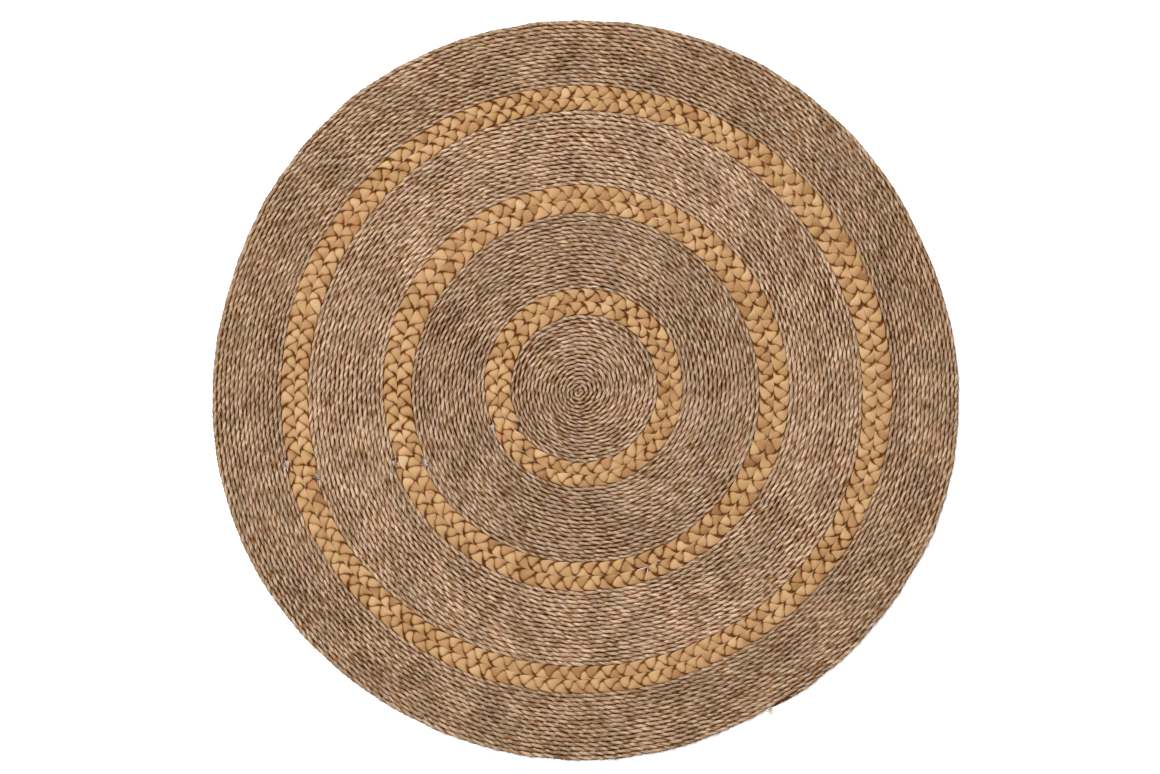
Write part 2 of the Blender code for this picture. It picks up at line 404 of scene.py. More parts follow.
def cord_turn(steps):
    bm = bmesh.new()
    half_side = Matrix.Rotation(math.pi / SECTION_SIDES, 4, "Z")
    bmesh.ops.create_circle(bm, segments=SECTION_SIDES, radius=1.0, matrix=half_side)
    for vertex in bm.verts:
        vertex.co *= section_reach(math.degrees(math.atan2(vertex.co.y, vertex.co.x)))
    # The circle lies flat. Turned about the space diagonal, its x points along y and its y along z.
    upright = Matrix.Rotation(math.radians(120), 3, (1.0, 1.0, 1.0))
    bmesh.ops.rotate(bm, verts=bm.verts, cent=(0, 0, 0), matrix=upright)
    bmesh.ops.spin(
        bm, geom=bm.verts[:] + bm.edges[:], cent=(0, 0, 0), axis=(1, 0, 0), dvec=(LAY / steps, 0, 0),
        angle=math.radians(360), steps=steps, use_merge=False, use_duplicate=False,
    )
    bmesh.ops.recalc_face_normals(bm, faces=bm.faces)
    return bm


def repeated(name, bm, pitch, length):
    """A mesh object of one repeat, arrayed along X to at least a length, with its ends closed."""
    mesh = bpy.data.meshes.new(name)
    bm.to_mesh(mesh)
    bm.free()
    piece = bpy.data.objects.new(name, mesh)
    bpy.context.scene.collection.objects.link(piece)
    array = piece.modifiers.new("repeats", "ARRAY")
    array.count = math.ceil(length / pitch)
    array.use_relative_offset = False
    array.use_constant_offset = True
    array.constant_offset_displace = (pitch, 0, 0)
    array.use_merge_vertices = True
    array.merge_threshold = MERGE_GAP
    bpy.context.view_layer.update()
    whole = bmesh.new()
    whole.from_object(piece, bpy.context.evaluated_depsgraph_get())
    bmesh.ops.holes_fill(whole, edges=[edge for edge in whole.edges if edge.is_boundary], sides=0)
    piece.modifiers.clear()
    whole.to_mesh(mesh)
    whole.free()
    mesh.shade_smooth()
    return piece


def points_of(piece):
    places = np.zeros(len(piece.data.vertices) * 3, np.float32)
    piece.data.vertices.foreach_get("co", places)
    return places.reshape(-1, 3).astype(float).T


def put_points(piece, x, y, z):
    places = np.stack([x, y, z], axis=-1).astype(np.float32)
    piece.data.vertices.foreach_set("co", places.ravel())
    piece.data.update()


def keep_straight_place(piece, x, y, z):
    """Keeps each point's place in the straight strand as an attribute, for the finish to follow."""
    straight = piece.data.attributes.new("straight", "FLOAT_VECTOR", "POINT")
    straight.data.foreach_set("vector", np.stack([x, y, z], axis=-1).astype(np.float32).ravel())


def keep_underside(piece, share):
    """Keeps how openly each point faces the floor, which is also how light it is from below."""
    underside = piece.data.attributes.new("underside", "FLOAT", "POINT")
    underside.data.foreach_set("value", share.astype(np.float32))


# %% [markdown]
# ## Unevenness
#
# Hand-twisted cord is thicker here and thinner there, and rows that are stitched together waver
# together. Both are sums of a few slow waves whose starts and headings come from a seeded generator,
# so each run gives the same rug.


# %% Unevenness
# The size of some waves that are added up, and the length of each in metres.
Waves = namedtuple("Waves", "size lengths")
ROW_WAVES = Waves(0.6 * MM, (0.043, 0.061, 0.087, 0.13, 0.21))
RISE_WAVES = Waves(0.25 * MM, (0.052, 0.083, 0.14, 0.3))
SWELL_SEED = 11


def soft_step(value, low, high):
    share = np.clip((value - low) / (high - low), 0.0, 1.0)
    return share * share * (3 - 2 * share)


def waver(rng, along, waves):
    """Slow waves along a strand."""
    starts = rng.uniform(0, 2 * np.pi, len(waves.lengths))
    parts = [np.sin(2 * np.pi * along / length + start) for length, start in zip(waves.lengths, starts)]
    return waves.size * sum(parts) / math.sqrt(len(parts))


def swell(rng, x, y, waves):
    """Slow waves over the rug's floor plan, each with its own heading."""
    headings = rng.uniform(0, 2 * np.pi, len(waves.lengths))
    ways = [x * math.cos(heading) + y * math.sin(heading) for heading in headings]
    parts = [waver(rng, way, Waves(waves.size, (length,))) for way, length in zip(ways, waves.lengths)]
    return sum(parts) / math.sqrt(len(parts))


def rug_swell(x, y):
    """How far the rows waver outwards and how much they rise, the same for every piece."""
    rng = np.random.default_rng(SWELL_SEED)
    outwards = swell(rng, x, y, ROW_WAVES)
    return outwards, swell(rng, x, y, RISE_WAVES)


def bend(line, along, across):
    """Carries straight places to a line, wavers them outwards with the rows, and gives how much they rise
    there too.
    """
    out = [np.interp(along, line.along, line.out[:, axis]) for axis in (0, 1)]
    x, y = (np.interp(along, line.along, line.place[:, axis]) + across * out[axis] for axis in (0, 1))
    outwards, upwards = rug_swell(x, y)
    return x + outwards * out[0], y + outwards * out[1], upwards


# %% [markdown]
# ## Laying the cord
#
# Each point of the straight cord is untwisted to find where it sits in its ply, made a little
# thicker or thinner, twisted again at an uneven rate, and bent along the row. The lower half of the
# cord is filled out to a half round a little wider than its row and pressed flat on the floor, so
# that hardly any floor shows. The upper half keeps its round plies, which leaves a small dark hollow
# beside each ply that stands on top. The cord is twisted more tightly where it is bent most, in the
# middle of the rug.

# %% Laying the cord
CORD_MIDDLE = 2.25 * MM
FLOOR_GAP = 0.05 * MM
# A ply that lies beside the other makes the cord wide and low, and one on top narrow and high. A
# press of 1 would make them equally wide.
PLY_PRESS = 0.2
LOW_REACH = 3.3 * MM
# The sine of the angle below the cord's middle where the lower half begins, and where it is full.
LOW_FROM, LOW_FULL = -0.17, 0.03
# How far across the underside it is open to the floor, and where it is closed, in ply reaches.
OPEN_TO, CLOSED_FROM = 0.55, 0.8
# A cut end draws in to a share of the cord's width over its last millimetres.
END_WIDTH, END_TAPER = 0.55, 7.0
THICK_WAVES = Waves(0.05, (0.061, 0.113, 0.37))
PLY_WAVES = Waves(0.09, (0.047, 0.083, 0.19))
TWIST_WAVES = Waves(0.9, (0.21, 0.47, 1.3))
TIGHT_TURNS, TIGHT_LENGTH = 5.0, 0.45


def cord_widths(coil, line, along):
    """How wide the row is along a cord, as a share of the cord's width. Cut ends draw in."""
    whole = line.along[-1]
    from_start = whole if coil.inner == "middle" else along
    from_end = np.minimum(from_start, whole - along) / MM
    wide = np.interp(along, line.along, line.wide) / CORD_WIDTH
    return wide * between(END_WIDTH, 1.0, np.clip(from_end / END_TAPER, 0.0, 1.0))


def twisted(side, top, turn):
    """Where a place in a ply comes to lie after a turn: across, and up from the cord's middle."""
    half_width = np.sqrt((PLY_SIDE * np.cos(turn)) ** 2 + (PLY_SHOULDER * np.sin(turn)) ** 2)
    press = (half_width / PLY_SIDE) ** PLY_PRESS
    across = (side * np.cos(turn) - top * np.sin(turn)) / press
    up = (side * np.sin(turn) + top * np.cos(turn)) * press
    return across, up


def lay_cord(name, coil, steps, seed):
    rng = np.random.default_rng(seed)
    line = cord_line(coil)
    piece = repeated(name, cord_turn(steps), LAY, line.along[-1])
    x, y, z = points_of(piece)
    turn = 2 * np.pi * x / LAY
    side = y * np.cos(turn) + z * np.sin(turn)
    top = z * np.cos(turn) - y * np.sin(turn)
    along = x * line.along[-1] / x.max()
    keep_straight_place(piece, along, side, top)

    thick = 1 + waver(rng, along, THICK_WAVES)
    thick *= 1 + waver(rng, along, PLY_WAVES) * np.sign(side)
    wide = cord_widths(coil, line, along)
    turn += waver(rng, along, TWIST_WAVES)
    if coil.inner == "middle":
        turn += 2 * np.pi * TIGHT_TURNS * (1 - np.exp(-along / TIGHT_LENGTH))
    across, up = twisted(side, top, turn)
    reach = np.hypot(across, up)
    low = soft_step(-up / reach, LOW_FROM, LOW_FULL)
    grow = wide * between(thick, LOW_REACH / reach, low)
    across, up = across * grow, up * grow
    keep_underside(piece, low * (1 - soft_step(np.abs(across) / PLY_SIDE, OPEN_TO, CLOSED_FROM)))

    place_x, place_y, upwards = bend(line, along, across)
    height = np.maximum(CORD_MIDDLE * np.minimum(thick * wide, 1.0) + up + upwards, FLOOR_GAP)
    put_points(piece, place_x, place_y, height)
    return piece, line


# %% [markdown]
# ## Finish of the cord
#
# The grass is taupe, with paler and darker blades, some pinkish and some greenish. Noise that is
# stretched along the straight cord gives blades that twist with the plies, and slower noise gives
# each stretch of a ply its own tone. Painted shade makes the hollows between plies and rows dark
# brown: the colour darkens with depth, but not on the underside, which faces the floor.

# %% Finish of the cord
PALE_GRASS = (0.597, 0.452, 0.333)
DARK_GRASS = (0.20, 0.089, 0.023)
# The painted shade in the hollows between plies and rows, which the colour darkens towards.
HOLLOW_SHADE = (0.055, 0.013, 0.001)
# Between full light and the painted shade of a hollow or a seam, the colour first turns warmer.
WARM_SHADE = (0.82, 0.59, 0.34)
PATCH_SHADES = (0.86, 1.14)
PATCH_RATE, PATCH_STEP = 19.0, (0.3, 0.7)
# The plies meet within this distance of the cord's middle, and painted shade darkens the notch between them.
PLY_BORDER = 0.1 * MM
NOTCH_EDGE, NOTCH_LIGHT = 1.1 * MM, 0.45
# Painted shade darkens the colour below the higher of these heights, and is full below the lower one.
HOLLOW_SHADE_HEIGHTS = (2.0 * MM, 3.9 * MM)
# How fast noise changes along a cord and across it, per metre: on single blades and on bundles.
BLADE_RATES = (80.0, 1500.0, 1500.0)
BUNDLE_RATES = (52.0, 620.0, 620.0)
TONE_STEP = (0.38, 0.60)
# Noise that changes along a strand only. Each strand reads it shifted along, in another row.
StrandNoise = namedtuple("StrandNoise", "rate shift row layer")
GRASS_STRETCHES = StrandNoise(75.0, 37.0, 11.0, 0.0)
GRASS_HUES = StrandNoise(26.0, 53.0, 5.0, 3.0)
# A second colour that multiplies the first where a noise goes from one value to another.
Hue = namedtuple("Hue", "tint start full")
PINK_GRASS = Hue((1.04, 0.92, 0.88), 0.5, 0.72)
GREEN_GRASS = Hue((0.96, 1.0, 0.86), 0.5, 0.28)


def strand_noise(finish, along, strand, kind):
    reading = finish.point(along * kind.rate + strand * kind.shift, strand * kind.row, kind.layer)
    return finish.noise(reading, detail=1.0)


def with_hues(finish, colour, noise, hues):
    for hue in hues:
        share = finish.step(noise, hue.start, hue.full)
        colour = finish.mix(share, colour, finish.tinted(colour, hue.tint))
    return colour


def paint_shade(finish, colour, lit_share, deepest_shade):
    """Paints shade: darkens a colour, first warmly, towards the deepest shade where the lit share goes from
    1 to 0.
    """
    return finish.mix(lit_share, deepest_shade, finish.tinted(colour, finish.mix(lit_share, WARM_SHADE, WHITE)))


def cord_finish(name, tint):
    finish = Finish(name)
    straight = finish.attribute("straight")
    along, side = finish.axis(straight, 0), finish.axis(straight, 1)
    place = finish.place()
    ply = finish.step(side, -PLY_BORDER, PLY_BORDER)

    stretches = strand_noise(finish, along, ply, GRASS_STRETCHES)
    blades = finish.noise(finish.stretched(straight, BLADE_RATES), detail=3.0, roughness=0.65)
    bundles = finish.noise(finish.stretched(straight, BUNDLE_RATES), detail=1.0)
    tone = finish.step(stretches * 0.33 + blades * 0.3 + bundles * 0.37, *TONE_STEP)
    colour = finish.mix(tone, DARK_GRASS, PALE_GRASS)

    hues = strand_noise(finish, along, ply, GRASS_HUES)
    colour = with_hues(finish, colour, hues, (PINK_GRASS, GREEN_GRASS))
    dark_patch, pale_patch = ([share * part for part in tint] for share in PATCH_SHADES)
    patches = finish.step(finish.noise(place, PATCH_RATE, detail=3.0), *PATCH_STEP)
    colour = finish.tinted(colour, finish.mix(patches, dark_patch, pale_patch))

    # Painted shade: the colour darkens in the notch between the plies and with depth below their tops, and
    # on the underside, which faces the floor, only in the notch.
    notch = finish.step(abs(side), PLY_BORDER, NOTCH_EDGE, NOTCH_LIGHT, 1.0)
    height = finish.step(finish.axis(place, 2), *HOLLOW_SHADE_HEIGHTS)
    lit_share = (notch * height).at_least(finish.attribute("underside", "Fac") * notch)
    colour = paint_shade(finish, colour, lit_share, HOLLOW_SHADE)
    bump = finish.bump(blades, 0.6, 0.35 * MM)
    return finish.done({"Base Color": colour, "Roughness": 0.85, "Specular IOR Level": 0.02, "Normal": bump})


# %% Wind the four lengths of cord
# Each length's own grass, a little paler or darker: a colour that multiplies the finish.
CORD_TINTS = {
    "middle_coil": (1.04, 1.01, 1.00),
    "inner_ring": (0.99, 0.96, 0.94),
    "middle_ring": (1.13, 1.10, 1.07),
    "outer_ring": (1.00, 0.96, 0.91),
}
# How many steps model one twist. The shorter lengths of cord can have more.
TWIST_STEPS = {"middle_coil": 14, "inner_ring": 9, "middle_ring": 8, "outer_ring": 7}
CORD_SEED = 100
made = {}
for number, (name, coil) in enumerate(COILS.items()):
    piece, line = lay_cord(name + "_cord", coil, TWIST_STEPS[name], CORD_SEED + number)
    piece.data.materials.append(cord_finish(name + " grass", CORD_TINTS[name]))
    rows = turns_of(coil)
    width = rows * row_pitch(coil) * MM
    if coil.inner == "middle":
        cut = {"flat": (2 * width, 2 * width), "area": math.pi * width**2}
    else:
        cut = {"flat": (width, line.along[-1] / rows)}
    made[name] = (piece, "cord", cut)
    print(piece.name, round(line.along[-1], 2), "m,", len(piece.data.vertices), "points")

# %% [markdown]
# ## The braid's strips
#
# A flat braid of three strips shows two rows of leaf-shaped faces. Each strip comes out from under
# the face before it, turns at the edge, goes over the strip that lies in the middle, and dives under
# the next one from the other side. So one strip seen from above is a band between two edges that
# wander from side to side, and both edges are the same line: the right one is the left one, mirrored
# and half a repeat later. The left one needs only twelve even steps over a repeat.

# %% The braid's strips
# The length of a leaf-shaped face. Each strip shows one on each side in a repeat.
LEAF = 19.5 * MM
STRIPS = 3
REPEAT = STRIPS * LEAF
STRIP_HALF = 6.0 * MM
STRIP_THICK = 2.7 * MM
STRIP_APART = 14.0 * MM
STRIP_STEPS, STRIP_SIDES = 24, 12
BRAID_HALF = 8.5 * MM
# The left edge of a strip: how far along in leaf lengths, and how far across in half widths.
EdgePoint = namedtuple("EdgePoint", "along across")
LEFT_EDGE = (
    EdgePoint(-0.16, 0.97),
    EdgePoint(0.26, 0.77),
    EdgePoint(0.55, 0.12),
    EdgePoint(0.78, -0.29),
    EdgePoint(0.91, -0.42),
    EdgePoint(1.00, -0.25),
    EdgePoint(1.14, 0.07),
    EdgePoint(1.33, 0.47),
    EdgePoint(1.55, 0.82),
    EdgePoint(1.78, 0.95),
    EdgePoint(2.10, 0.98),
    EdgePoint(2.49, 1.00),
)
# How high the middles of the lower and the upper strips lie, and how much a face rises towards the
# braid's own middle.
LOW_MIDDLE, HIGH_MIDDLE, CROWN = 1.5 * MM, 3.8 * MM, 1.2 * MM
# A strip's face comes out a little later on one side than on the other, and dives at once on both.
# These are shares of a turn, counted from the strip's outer turn.
OUT_MIDDLE, OUT_SLANT, OUT_TAKES = -0.10, -0.07, 0.055
DIVE_FROM, DIVE_TO = 0.055, 0.115


def closed_curve(values, turn):
    """A Catmull-Rom curve, closed, through values at even steps of a turn."""
    place = (turn % 1.0) * len(values)
    step = np.floor(place).astype(int)
    share = place - step
    before, low, high, after = (values[(step + k) % len(values)] for k in (-1, 0, 1, 2))
    squared = 2 * before - 5 * low + 4 * high - after
    cubed = 3 * (low - high) + after - before
    return low + 0.5 * share * (high - before + share * (squared + share * cubed))


def left_edge(turn):
    steps = np.arange(len(LEFT_EDGE)) * STRIPS / len(LEFT_EDGE)
    along = np.array([point.along for point in LEFT_EDGE]) - steps
    across = np.array([point.across for point in LEFT_EDGE])
    return STRIPS * turn + closed_curve(along, turn), closed_curve(across, turn)


def on_top(turn, side):
    """1 where a strip's face shows near the outer turn, 0 where other strips lie over it."""
    near = (turn + 0.25) % 1.0 - 0.25
    out_from = OUT_MIDDLE + OUT_SLANT * side
    comes_out = soft_step(near, out_from, out_from + OUT_TAKES)
    return comes_out * (1 - soft_step(near, DIVE_FROM, DIVE_TO))


# %% [markdown]
# ## Plaiting
#
# The three strips start side by side, as flat tubes with a lens section, made from circles that are
# extruded step by step. Each point then moves to its place in the plait: across between the strip's
# two edges, and up or down between the lower and the upper layer.


# %% Plaiting
# Handwork is uneven: the line between the two rows of faces wanders, faces are longer and shorter,
# the edges wander a little, and some faces stand higher.
MIDLINE_WAVES = Waves(0.24, (0.047, 0.083, 0.17, 0.41))
LENGTH_WAVES = Waves(1.5 * MM, (0.041, 0.067, 0.13))
EDGE_WAVES = Waves(0.02, (0.053, 0.087))
STAND_WAVES = Waves(0.2 * MM, (0.031, 0.057))
# Both vary across a braid too, this many times as fast as along it.
LENGTH_SLANT, STAND_SLANT = 2.1, 1.3
# Where a strip's lower side is open to the floor, in shares of its thickness below its middle.
OPEN_BELOW = (0.05, 0.3)
# The rounds press on what lies beside them, so a round is a little wider than its share.
BRAID_PRESS = 1.07


def strips_side_by_side():
    bm = bmesh.new()
    upright = Matrix.Rotation(math.radians(90), 3, "Z") @ Matrix.Rotation(math.radians(90), 3, "X")
    for number in range(STRIPS):
        shift = Matrix.Translation((0.0, number * STRIP_APART, 0.0))
        made_now = bmesh.ops.create_circle(bm, segments=STRIP_SIDES, radius=1.0)["verts"]
        bmesh.ops.scale(bm, verts=made_now, vec=(STRIP_HALF, STRIP_THICK / 2, 1.0))
        bmesh.ops.rotate(bm, verts=made_now, cent=(0, 0, 0), matrix=upright)
        bmesh.ops.transform(bm, verts=made_now, matrix=shift)
    edges = bm.edges[:]
    for _ in range(STRIP_STEPS):
        grown = bmesh.ops.extrude_edge_only(bm, edges=edges)["geom"]
        edges = [item for item in grown if isinstance(item, bmesh.types.BMEdge)]
        corners = [item for item in grown if isinstance(item, bmesh.types.BMVert)]
        bmesh.ops.translate(bm, verts=corners, vec=(REPEAT / STRIP_STEPS, 0, 0))
    bmesh.ops.recalc_face_normals(bm, faces=bm.faces)
    return bm


def plait(along, side, thick, strip, rng):
    """Places in a straight braid: along it, across in half widths, up, and how open to below."""
    turn = along / REPEAT + strip / STRIPS
    left_along, left_across = left_edge(turn)
    right_along, right_across = left_edge(turn - 0.5)
    share = (side + 1) / 2
    x = between(right_along + STRIPS / 2, left_along, share) * LEAF + along - turn * REPEAT
    y = between(-right_across, left_across, share)
    up = np.maximum(on_top(turn, side), on_top(turn - 0.5, -side))
    below = soft_step(-thick / STRIP_THICK, *OPEN_BELOW) * (1 - up)
    z = between(LOW_MIDDLE, HIGH_MIDDLE, up) + thick + CROWN * up * (1 - y**2)

    y += waver(rng, x, MIDLINE_WAVES) * (1 - y**2)
    x += waver(rng, x + LENGTH_SLANT * y * BRAID_HALF, LENGTH_WAVES)
    y += waver(rng, x, EDGE_WAVES)
    z += waver(rng, x + STAND_SLANT * y * BRAID_HALF, STAND_WAVES)
    return x, y * BRAID_PRESS, z, below


# %% [markdown]
# ## Where the braids run
#
# A braid runs its first round against the cord inside it, crosses over in a short stretch, and runs
# its second round against the cord outside it. Both its ends come to a point. Where a cord ends or
# starts bluntly next to it, a small gap shows the floor.

# %% Where the braids run
# A gap is the length in millimetres over which the braid comes back to the cord.
Braid = namedtuple("Braid", "inside outside inner_gap outer_gap")
BRAIDS = {
    "braid_1": Braid("middle_coil", "inner_ring", 12.0, 19.0),
    "braid_2": Braid("inner_ring", "middle_ring", 12.0, 4.0),
    "braid_3": Braid("middle_ring", "outer_ring", 4.0, 16.0),
}
# In millimetres: half the length of a crossing, and the room between a braid and the cord.
CROSSING_HALF = 18.0
CLEARANCE = 0.3
ANGLE_DIGITS = 6


def past_turn(angle, mark):
    """The clockwise angle from a mark, from 0 up to 360 degrees."""
    return np.round(angle - mark, ANGLE_DIGITS) % 360.0


def coil_outside(coil, angle):
    """The even radius of a coil's outer side, which is where one more row would start."""
    last = coil_ends(coil)[1]
    past = past_turn(angle, last)
    return row_side(coil, last + np.where(past == 0.0, 360.0, past))


def coil_inside(coil, angle):
    """The even radius of a coil's inner side."""
    first = coil_ends(coil)[0]
    return row_side(coil, first + past_turn(angle, first))


def braid_line(braid):
    inside, outside = COILS[braid.inside], COILS[braid.outside]
    cord_end, cord_start = clockwise(inside.end_at), clockwise(outside.start_at)
    inner_radius, outer_radius = CIRCLES[inside.outer].radius, CIRCLES[outside.inner].radius
    inner_gap = math.degrees(braid.inner_gap / inner_radius)
    outer_gap = math.degrees(braid.outer_gap / outer_radius)
    half = math.degrees(CROSSING_HALF / between(inner_radius, outer_radius, 0.5))
    crossing = cord_end + ((cord_start - cord_end + 180.0) % 360.0 - 180.0) / 2

    def inner_side(angle):
        past = past_turn(angle, cord_end)
        high, low = (coil_outside(inside, np.array(cord_end + shift)) for shift in (0.0, inner_gap))
        near = between(high, low, past / inner_gap)
        return np.where(past < inner_gap, near, coil_outside(inside, angle))

    def outer_side(angle):
        before = past_turn(cord_start, angle)
        low, high = (coil_inside(outside, np.array(cord_start - shift)) for shift in (0.0, outer_gap))
        near = between(low, high, before / outer_gap)
        return np.where(before < outer_gap, near, coil_inside(outside, angle))

    def side(angle):
        """The inner side of the round at an angle that goes on from turn to turn."""
        first_share = np.clip((angle - crossing - 360.0 + half) / (2 * half), 0.0, 1.0)
        second_share = np.clip((angle - crossing - 720.0 + half) / (2 * half), 0.0, 1.0)
        inner, outer = inner_side(angle) + CLEARANCE, outer_side(angle) - CLEARANCE
        return between(inner, outer, (first_share + second_share) / 2)

    angle = np.arange(crossing - half, crossing + 720.0 + half, LINE_STEP)
    return line_between(side(angle), side(angle + 360.0), angle)


# %% [markdown]
# ## Laying the braids
#
# Each braid is plaited straight, made as long as its line, and bent along it. Where a round comes to
# a point the strips get thinner. The strips of all braids have their own numbers, so that no two
# have the same colours.

# %% Laying the braids
# How thick the strips are where a round comes to a point, as a share of their full thickness.
THIN_END = 0.6
# Each braid counts its strips from this many more than the braid before it.
STRIP_NUMBERS = 10.0
# A strip is this much longer than its braid, because it runs from side to side.
STRIP_LONGER = 1.25


def lay_braid(name, braid, seed):
    rng = np.random.default_rng(seed)
    line = braid_line(braid)
    repeats = round(line.along[-1] / REPEAT)
    piece = repeated(name, strips_side_by_side(), REPEAT, (repeats - 0.5) * REPEAT)
    x, y, z = points_of(piece)
    strip = np.round(y / STRIP_APART)
    side = (y - strip * STRIP_APART) / STRIP_HALF
    keep_straight_place(piece, x, side * STRIP_HALF, strip + STRIP_NUMBERS * seed)
    along, across, up, below = plait(x, side, z, strip, rng)
    keep_underside(piece, below)
    along = np.clip(along * line.along[-1] / x.max(), 0.0, line.along[-1])
    wide = np.interp(along, line.along, line.wide)
    place_x, place_y, upwards = bend(line, along, across * wide / 2)
    thin = between(THIN_END, 1.0, np.clip(wide / (2 * BRAID_HALF), 0.0, 1.0))
    put_points(piece, place_x, place_y, np.maximum(up * thin + upwards, FLOOR_GAP))
    return piece, line


# %% [markdown]
# ## Finish of the braid
#
# Dry leaf is smooth and papery, golden tan, with fine lines along the strip and a soft sheen. Each
# face has its own tone, because a strip changes colour along its length, and a few are pinkish or
# yellow-green. Painted shade makes the seams between the faces dark brown: the colour darkens where
# a strip lies low, but not on the underside, which faces the floor.

# %% Finish of the braid
LEAF_STOPS = (
    (0.28, (0.25, 0.118, 0.046)),
    (0.40, (0.40, 0.212, 0.087)),
    (0.50, (0.50, 0.292, 0.132)),
    (0.62, (0.59, 0.366, 0.180)),
    (0.76, (0.68, 0.462, 0.262)),
)
# The painted shade in the seams, and the heights between which the colour darkens towards it.
SEAM_SHADE = (0.110, 0.032, 0.002)
SEAM_SHADE_HEIGHTS = (2.5 * MM, 4.5 * MM)
LEAF_TONES = StrandNoise(42.0, 0.0, 7.3, 0.0)
LEAF_HUES = StrandNoise(33.0, 0.0, 5.1, 9.0)
PINK_LEAF = Hue((0.98, 0.86, 0.86), 0.55, 0.72)
GREEN_LEAF = Hue((0.92, 0.98, 0.80), 0.42, 0.26)
# How fast the fine lines and the folds change along a strip and across it, per metre.
LINE_RATES = (55.0, 2300.0, 1.0)
FOLD_RATES = (28.0, 380.0, 1.0)
# Stains on the leaf: a place and a reach in millimetres, and a colour. One face by the inner join
# is yellow at one end and red at the other.
Stain = namedtuple("Stain", "x y reach colour")
STAINS = (
    Stain(-113.0, -49.5, 6.0, (0.66, 0.40, 0.10)),
    Stain(-111.0, -57.5, 6.0, (0.62, 0.17, 0.10)),
)
STAIN_STRENGTH = 0.75


def braid_finish():
    finish = Finish("dry leaf")
    straight = finish.attribute("straight")
    along, strip = finish.axis(straight, 0), finish.axis(straight, 2)
    place = finish.place()
    tones = strand_noise(finish, along, strip, LEAF_TONES)
    lines = finish.noise(finish.stretched(straight, LINE_RATES), detail=3.0, roughness=0.6)
    folds = finish.noise(finish.stretched(straight, FOLD_RATES), detail=2.0)
    colour = finish.ramp(tones * 0.7 + lines * 0.3, LEAF_STOPS)
    hues = strand_noise(finish, along, strip, LEAF_HUES)
    colour = with_hues(finish, colour, hues, (PINK_LEAF, GREEN_LEAF))
    for stain in STAINS:
        middle = (stain.x * MM, stain.y * MM, HIGH_MIDDLE)
        away = finish.node("ShaderNodeVectorMath", {0: place, 1: middle}, "Value", operation="DISTANCE")
        strength = finish.step(away, stain.reach * MM, stain.reach * MM / 2, 0.0, STAIN_STRENGTH)
        colour = finish.mix(strength, colour, stain.colour)
    # Painted shade: the colour darkens with depth, in the seams where a strip lies low, but not where its
    # underside faces the floor.
    height = finish.step(finish.axis(place, 2), *SEAM_SHADE_HEIGHTS)
    lit_share = height.at_least(finish.attribute("underside", "Fac"))
    colour = paint_shade(finish, colour, lit_share, SEAM_SHADE)
    bump = finish.bump(lines * 0.5 + folds, 0.7, 0.8 * MM)
    return finish.done({"Base Color": colour, "Roughness": 0.5, "Specular IOR Level": 0.12, "Normal": bump})


# %% Plait the three bands
LEAF_FINISH = braid_finish()
for number, (name, braid) in enumerate(BRAIDS.items()):
    piece, line = lay_braid(name + "_leaf", braid, number + 1)
    piece.data.materials.append(LEAF_FINISH)
    cut = {"flat": (2 * STRIPS * STRIP_HALF, line.along[-1] * STRIP_LONGER)}
    made[name] = (piece, "braid", cut)
    print(piece.name, round(line.along[-1], 2), "m,", len(piece.data.vertices), "points")

# %% [markdown]
# ## Loose fibres
#
# Dry grass frays: short blades stand out of the cord all over the rug. One fibre is a thin tube of
# three sides. An Array makes the whole number of them, and then each one is laid between its own two
# ends, bent a little sideways and arched over the cord.

# %% Loose fibres
FIBRE_SIDES, FIBRE_STEPS = 3, 6
FIBRE_LENGTH, FIBRE_PITCH = 6.0 * MM, 10.0 * MM
# How thick a fibre's tips are, as a share of its middle.
FIBRE_TIP = 0.4


def one_fibre():
    bm = bmesh.new()
    upright = Matrix.Rotation(math.radians(90), 4, "Y")
    bmesh.ops.create_circle(bm, segments=FIBRE_SIDES, radius=0.5 * MM, matrix=upright)
    edges = bm.edges[:]
    for _ in range(FIBRE_STEPS):
        grown = bmesh.ops.extrude_edge_only(bm, edges=edges)["geom"]
        edges = [item for item in grown if isinstance(item, bmesh.types.BMEdge)]
        corners = [item for item in grown if isinstance(item, bmesh.types.BMVert)]
        bmesh.ops.translate(bm, verts=corners, vec=(FIBRE_LENGTH / FIBRE_STEPS, 0, 0))
    bmesh.ops.recalc_face_normals(bm, faces=bm.faces)
    return bm


def lay_fibres(name, starts, ends, thick, aside, low, high):
    """Fibres between starts and ends, bent aside and arched from low to high, in metres."""
    piece = repeated(name, one_fibre(), FIBRE_PITCH, (len(starts) - 0.5) * FIBRE_PITCH)
    x, y, z = points_of(piece)
    number = np.minimum(np.floor(x / FIBRE_PITCH + 0.1).astype(int), len(starts) - 1)
    share = (x - number * FIBRE_PITCH) / FIBRE_LENGTH
    keep_straight_place(piece, share, number / len(starts), z)
    ahead = ends - starts
    across = np.stack([-ahead[:, 1], ahead[:, 0]], axis=-1) / np.linalg.norm(ahead, axis=1)[:, None]
    arch = 4 * share * (1 - share)
    taper = thick[number] / MM * between(FIBRE_TIP, 1.0, arch)
    sideways = aside[number] * arch + y * taper
    place = starts[number] + ahead[number] * share[:, None] + across[number] * sideways[:, None]
    upwards = rug_swell(*place.T)[1]
    put_points(piece, *place.T, low[number] + (high - low)[number] * arch + z * taper + upwards)
    return piece


# %% [markdown]
# Fibres lie roughly along the cord that they come from, evenly over the whole rug. Where a length of
# cord starts or ends at a braid or at the rim, a tuft of them fans out, and some stand out past the
# rim.

# %% Lay the loose fibres
# Lengths are in millimetres, and slants are in degrees away from the row.
FIBRE_COUNT, FIBRE_LENGTHS, FIBRE_SLANT = 1500, (5, 19), 28
# They start within this share of the rug's area, and end within this many metres of its middle.
FIBRE_AREA, FIBRE_REACH = 0.985, 0.497
